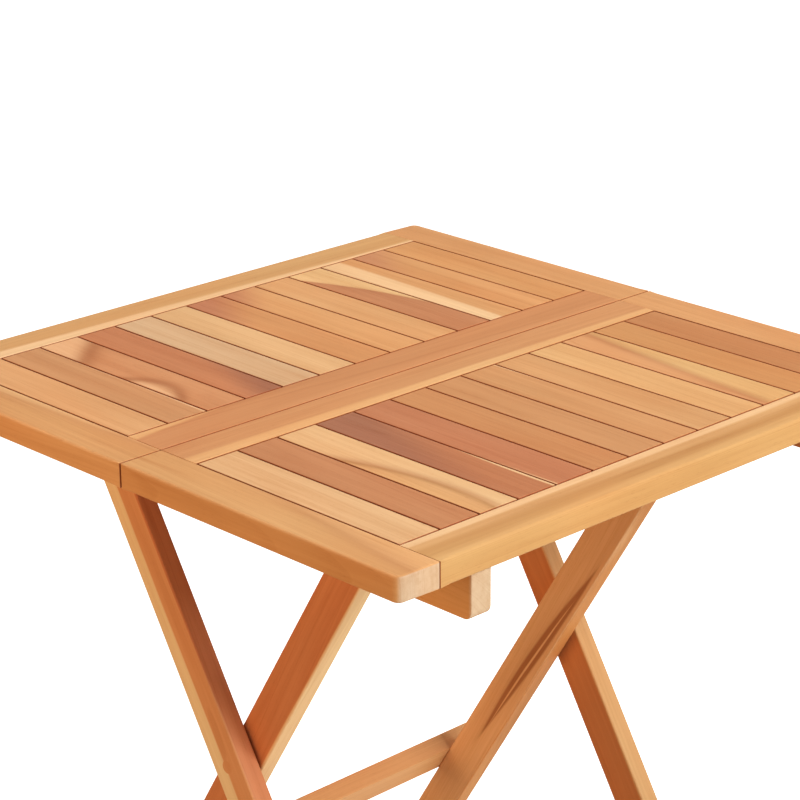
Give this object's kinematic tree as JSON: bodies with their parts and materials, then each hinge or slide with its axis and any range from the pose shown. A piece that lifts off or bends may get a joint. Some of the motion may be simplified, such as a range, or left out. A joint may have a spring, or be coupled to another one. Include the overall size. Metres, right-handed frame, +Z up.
{
  "type": "folding garden table",
  "caption": "Square folding garden table in oiled teak: a slatted top in two hinged halves on two pairs of crossed legs that fold flat when the seam is lifted.",
  "frame": {"origin": "on the floor, under the middle of the table top", "axes": "+Z up; +Y along the seam between the two halves; +X across it, towards the front half"},
  "size_m": [0.8, 0.8, 0.75],
  "materials": {
    "teak_cream": "oiled teak, satin",
    "teak_honey": "oiled teak, satin",
    "teak_golden": "oiled teak, satin",
    "teak_rose": "oiled teak, satin",
    "teak_russet": "oiled teak, satin",
    "teak_figured": "oiled teak, satin",
    "teak_frame": "oiled teak, satin",
    "brass": "plain, slightly dulled",
    "steel": "zinc plated"
  },
  "bodies": {
    "front_half": {"front_slat_01": "teak_cream", "front_slat_02": "teak_rose", "front_slat_03": "teak_figured", "front_slat_04": "teak_russet", "front_slat_05": "teak_rose", "front_slat_06": "teak_honey", "front_slat_07": "teak_honey", "front_slat_08": "teak_honey", "front_slat_09": "teak_golden", "front_slat_10": "teak_golden", "front_slat_11": "teak_figured", "front_slat_12": "teak_honey", "front_slat_13": "teak_russet", "front_seam_rail": "teak_rose", "front_outer_rail": "teak_golden", "front_end_rail_left": "teak_honey", "front_end_rail_right": "teak_honey", "front_batten_left": "teak_frame", "front_batten_right": "teak_frame", "front_hinge_leaves": "brass", "front_half_screws": "brass", "front_pivot_bolts": "steel", "front_pivot_nuts": "steel", "front_pivot_spacers": "steel", "hinge_pins": "brass"},
    "rear_half": {"rear_slat_01": "teak_honey", "rear_slat_02": "teak_rose", "rear_slat_03": "teak_figured", "rear_slat_04": "teak_russet", "rear_slat_05": "teak_cream", "rear_slat_06": "teak_golden", "rear_slat_07": "teak_rose", "rear_slat_08": "teak_honey", "rear_slat_09": "teak_golden", "rear_slat_10": "teak_figured", "rear_slat_11": "teak_rose", "rear_slat_12": "teak_honey", "rear_slat_13": "teak_honey", "rear_seam_rail": "teak_rose", "rear_outer_rail": "teak_golden", "rear_end_rail_left": "teak_honey", "rear_end_rail_right": "teak_honey", "rear_batten_left": "teak_frame", "rear_batten_right": "teak_frame", "rear_hinge_leaves": "brass", "rear_half_screws": "brass", "rear_pivot_bolts": "steel", "rear_pivot_nuts": "steel"},
    "inner_legs": {"inner_leg_left": "teak_frame", "inner_leg_right": "teak_frame", "inner_stretcher": "teak_frame", "inner_stretcher_screws": "brass", "crossing_inserts": "brass"},
    "outer_legs": {"outer_leg_left": "teak_frame", "outer_leg_right": "teak_frame", "outer_stretcher": "teak_frame", "outer_stretcher_screws": "brass", "crossing_bolts": "steel", "crossing_plugs": "teak_frame", "crossing_washers": "steel"}
  },
  "joints": [
    {"name": "seam_fold", "type": "hinge", "parent": "front_half", "child": "rear_half", "pos_m": [0, 0, 0.669], "axis": [0, -1, 0], "range_deg": [0, 180]},
    {"name": "inner_leg_swing", "type": "hinge", "parent": "front_half", "child": "inner_legs", "pos_m": [0.202, 0, 0.6975], "axis": [0, -1, 0], "range_deg": [0, 117.06]},
    {"name": "outer_leg_swing", "type": "hinge", "parent": "rear_half", "child": "outer_legs", "pos_m": [-0.202, 0, 0.6975], "axis": [0, 1, 0], "range_deg": [0, 117.06]}
  ],
  "couplings": [
    {"joint": "inner_leg_swing", "follows": "seam_fold", "ratio": 0.65006},
    {"joint": "outer_leg_swing", "follows": "seam_fold", "ratio": 0.65006}
  ]
}
